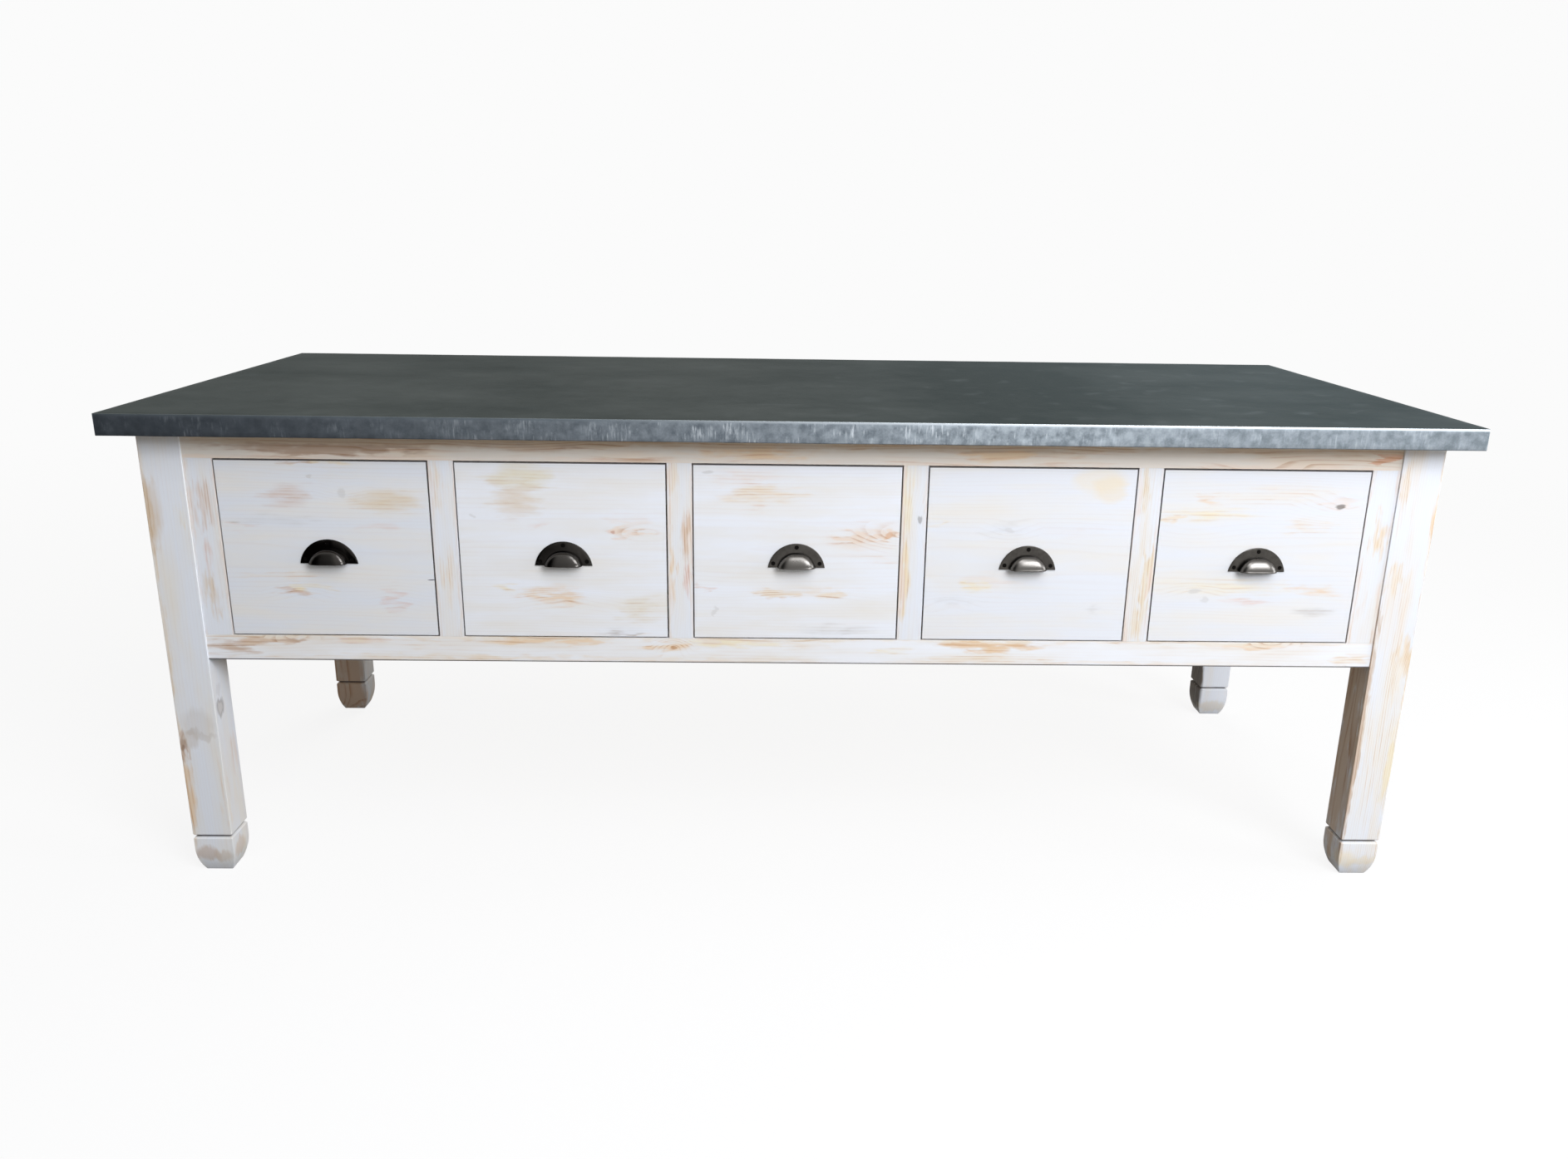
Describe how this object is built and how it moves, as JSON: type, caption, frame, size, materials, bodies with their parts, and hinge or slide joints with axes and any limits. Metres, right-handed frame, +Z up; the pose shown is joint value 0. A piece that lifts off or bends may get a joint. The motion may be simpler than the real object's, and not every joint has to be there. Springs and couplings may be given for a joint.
{
  "type": "kitchen island unit",
  "caption": "Free-standing kitchen island on square grooved legs, with a zinc-covered worktop and a row of deep inset drawers with cup pulls.",
  "frame": {"origin": "on the floor, under the middle of the worktop", "axes": "+X along the island, to the right as seen from the drawer side; +Y from the drawer side to the back; +Z up"},
  "size_m": [2.414, 1.026, 0.9],
  "materials": {
    "whitewashed_pine": "white limed and rubbed back, matt",
    "bare_pine": "planed, unfinished",
    "birch_ply": "sanded, unfinished",
    "core_board": "sawn, unfinished",
    "zinc": "patinated, matt",
    "pewter": "antique pewter, satin",
    "dark_steel": "dark, satin"
  },
  "bodies": {
    "carcass": {"leg_front_left": "whitewashed_pine", "leg_front_right": "whitewashed_pine", "leg_back_left": "whitewashed_pine", "leg_back_right": "whitewashed_pine", "worktop_core": "core_board", "worktop_zinc": "zinc", "worktop_screws": "dark_steel", "front_top_rail": "whitewashed_pine", "front_bottom_rail": "whitewashed_pine", "front_end_stiles": "whitewashed_pine", "front_mid_stiles": "whitewashed_pine", "back_top_rail": "whitewashed_pine", "back_bottom_rail": "whitewashed_pine", "back_stiles": "whitewashed_pine", "back_panels": "whitewashed_pine", "left_top_rail": "whitewashed_pine", "left_bottom_rail": "whitewashed_pine", "left_panel": "whitewashed_pine", "right_top_rail": "whitewashed_pine", "right_bottom_rail": "whitewashed_pine", "right_panel": "whitewashed_pine", "drawer_runners": "bare_pine", "drawer_guides": "bare_pine", "drawer_kickers": "bare_pine", "drawer_stops": "bare_pine"},
    "drawer_1": {"drawer_1_front": "whitewashed_pine", "drawer_1_sides": "bare_pine", "drawer_1_back": "bare_pine", "drawer_1_bottom": "birch_ply", "drawer_1_cleat": "bare_pine", "drawer_1_pull": "pewter", "drawer_1_screws": "dark_steel"},
    "drawer_2": {"drawer_2_front": "whitewashed_pine", "drawer_2_sides": "bare_pine", "drawer_2_back": "bare_pine", "drawer_2_bottom": "birch_ply", "drawer_2_cleat": "bare_pine", "drawer_2_pull": "pewter", "drawer_2_screws": "dark_steel"},
    "drawer_3": {"drawer_3_front": "whitewashed_pine", "drawer_3_sides": "bare_pine", "drawer_3_back": "bare_pine", "drawer_3_bottom": "birch_ply", "drawer_3_cleat": "bare_pine", "drawer_3_pull": "pewter", "drawer_3_screws": "dark_steel"},
    "drawer_4": {"drawer_4_front": "whitewashed_pine", "drawer_4_sides": "bare_pine", "drawer_4_back": "bare_pine", "drawer_4_bottom": "birch_ply", "drawer_4_cleat": "bare_pine", "drawer_4_pull": "pewter", "drawer_4_screws": "dark_steel"},
    "drawer_5": {"drawer_5_front": "whitewashed_pine", "drawer_5_sides": "bare_pine", "drawer_5_back": "bare_pine", "drawer_5_bottom": "birch_ply", "drawer_5_cleat": "bare_pine", "drawer_5_pull": "pewter", "drawer_5_screws": "dark_steel"}
  },
  "joints": [
    {"name": "drawer_1_slide", "type": "slide", "parent": "carcass", "child": "drawer_1", "axis": [0, -1, 0], "range_m": [0, 0.55]},
    {"name": "drawer_2_slide", "type": "slide", "parent": "carcass", "child": "drawer_2", "axis": [0, -1, 0], "range_m": [0, 0.55]},
    {"name": "drawer_3_slide", "type": "slide", "parent": "carcass", "child": "drawer_3", "axis": [0, -1, 0], "range_m": [0, 0.55]},
    {"name": "drawer_4_slide", "type": "slide", "parent": "carcass", "child": "drawer_4", "axis": [0, -1, 0], "range_m": [0, 0.55]},
    {"name": "drawer_5_slide", "type": "slide", "parent": "carcass", "child": "drawer_5", "axis": [0, -1, 0], "range_m": [0, 0.55]}
  ]
}
